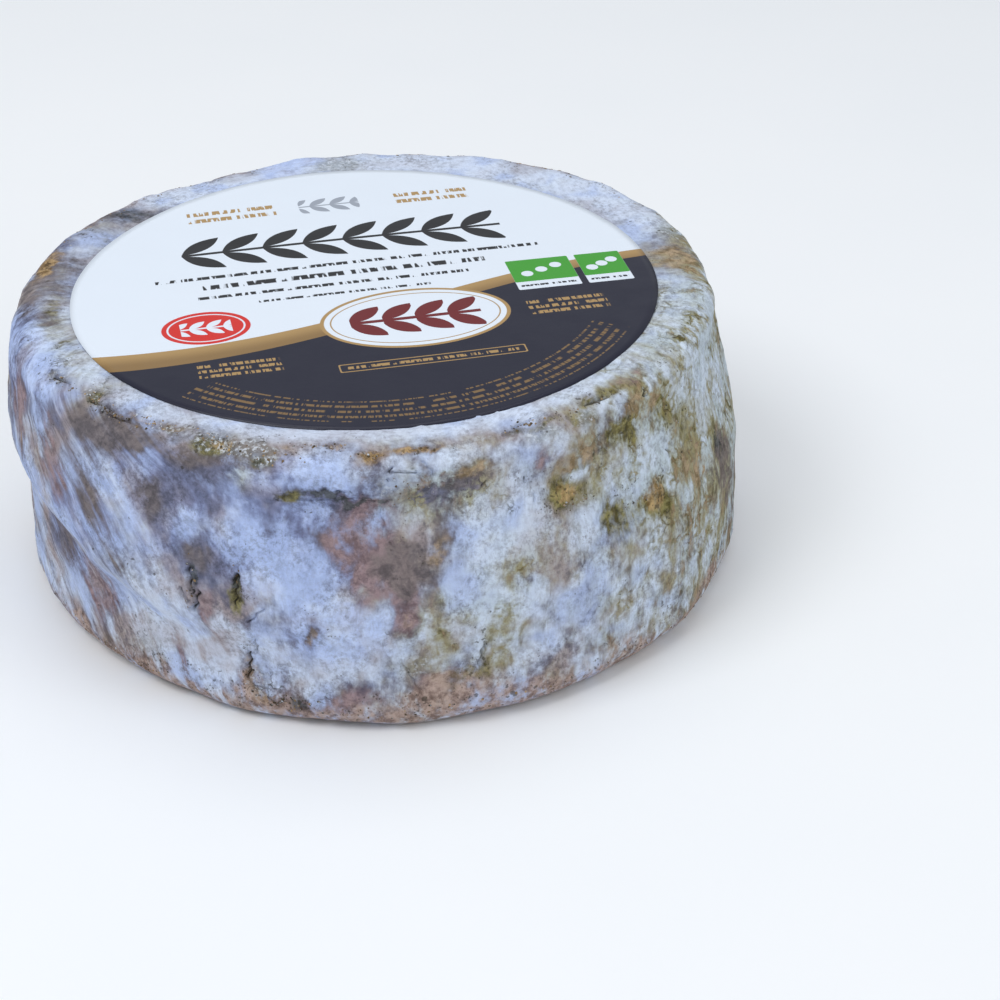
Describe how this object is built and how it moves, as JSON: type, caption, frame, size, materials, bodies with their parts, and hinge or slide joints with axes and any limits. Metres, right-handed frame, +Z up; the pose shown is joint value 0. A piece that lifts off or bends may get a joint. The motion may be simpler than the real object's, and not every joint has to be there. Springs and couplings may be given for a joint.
{
  "type": "aged goat cheese wheel",
  "caption": "Whole uncut wheel of aged goat cheese with a mottled natural mould rind, a pinched waist on one side and a plain round paper label on its top face.",
  "frame": {"origin": "middle of the flat underside that the wheel rests on", "axes": "+Z up through the wheel and out of the label, -Y towards the front of the wheel, +X to its right"},
  "size_m": [0.2061, 0.2058, 0.0794],
  "materials": {
    "rind": "dry powdery mould rind, mottled pale blue-grey, white, olive and russet",
    "label": "smooth printed paper, slightly glossy"
  },
  "bodies": {
    "root": {"cheese_wheel": "rind", "paper_label": "label"}
  },
  "joints": []
}
